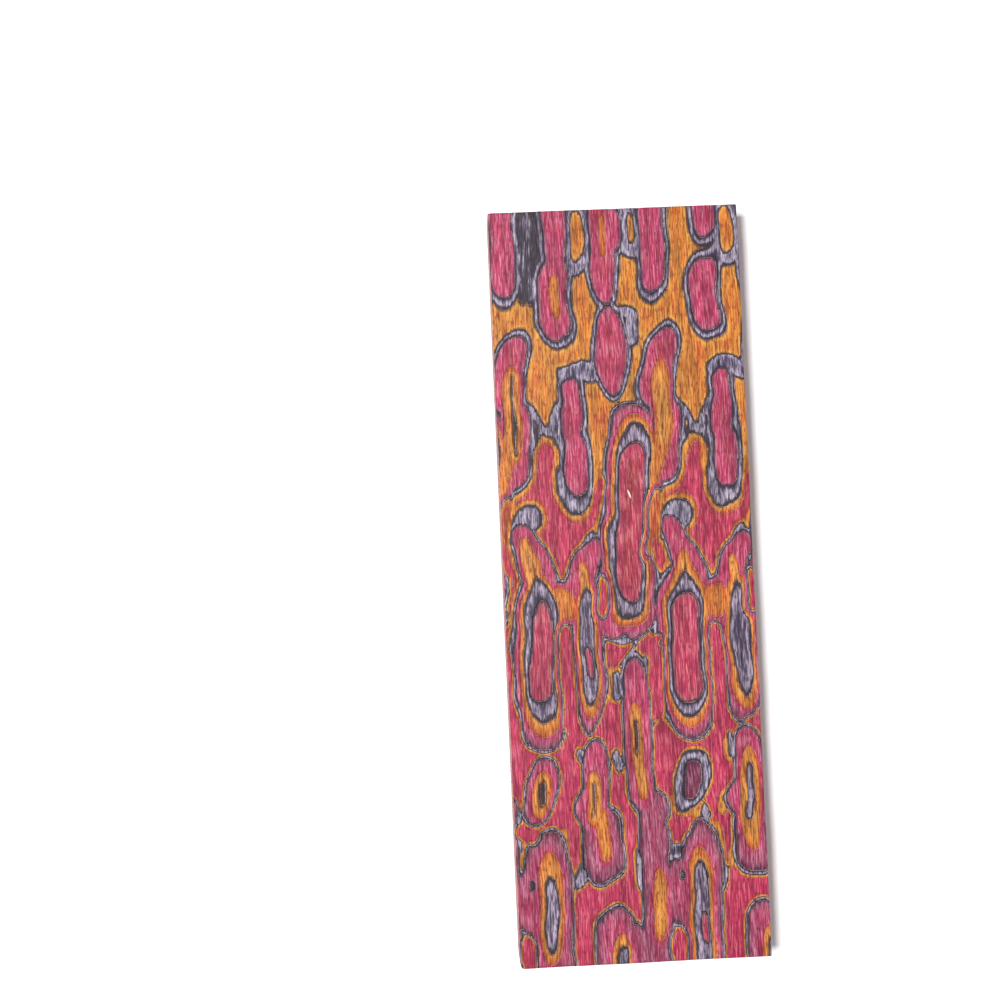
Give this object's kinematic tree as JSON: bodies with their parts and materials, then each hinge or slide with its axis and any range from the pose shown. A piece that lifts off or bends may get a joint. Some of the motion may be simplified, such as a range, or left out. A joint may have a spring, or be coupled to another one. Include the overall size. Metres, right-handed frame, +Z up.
{
  "type": "laminated wood knife handle blank",
  "caption": "Flat oblong block of dyed veneers glued in layers and planed, with a swirled figure on its broad faces, ready to be sawn and shaped into knife handle scales.",
  "frame": {"origin": "middle of the underside, on the surface that the blank lies on", "axes": "+Z is up through the thickness, +Y runs along the length and the grain, +X runs across the width"},
  "size_m": [0.04, 0.12, 0.008],
  "materials": {
    "red_veneer": "planed, satin",
    "grey_veneer": "planed, satin",
    "orange_veneer": "planed, satin"
  },
  "bodies": {
    "root": {"veneer_01_red": "red_veneer", "veneer_02_grey": "grey_veneer", "veneer_03_orange": "orange_veneer", "veneer_04_red": "red_veneer", "veneer_05_grey": "grey_veneer", "veneer_06_orange": "orange_veneer", "veneer_07_red": "red_veneer", "veneer_08_grey": "grey_veneer", "veneer_09_orange": "orange_veneer", "veneer_10_red": "red_veneer", "veneer_11_grey": "grey_veneer", "veneer_12_orange": "orange_veneer", "veneer_13_red": "red_veneer", "veneer_14_grey": "grey_veneer", "veneer_15_orange": "orange_veneer", "veneer_16_red": "red_veneer", "veneer_17_grey": "grey_veneer", "veneer_18_orange": "orange_veneer", "veneer_19_red": "red_veneer", "veneer_20_grey": "grey_veneer", "veneer_21_orange": "orange_veneer", "veneer_22_red": "red_veneer"}
  },
  "joints": []
}
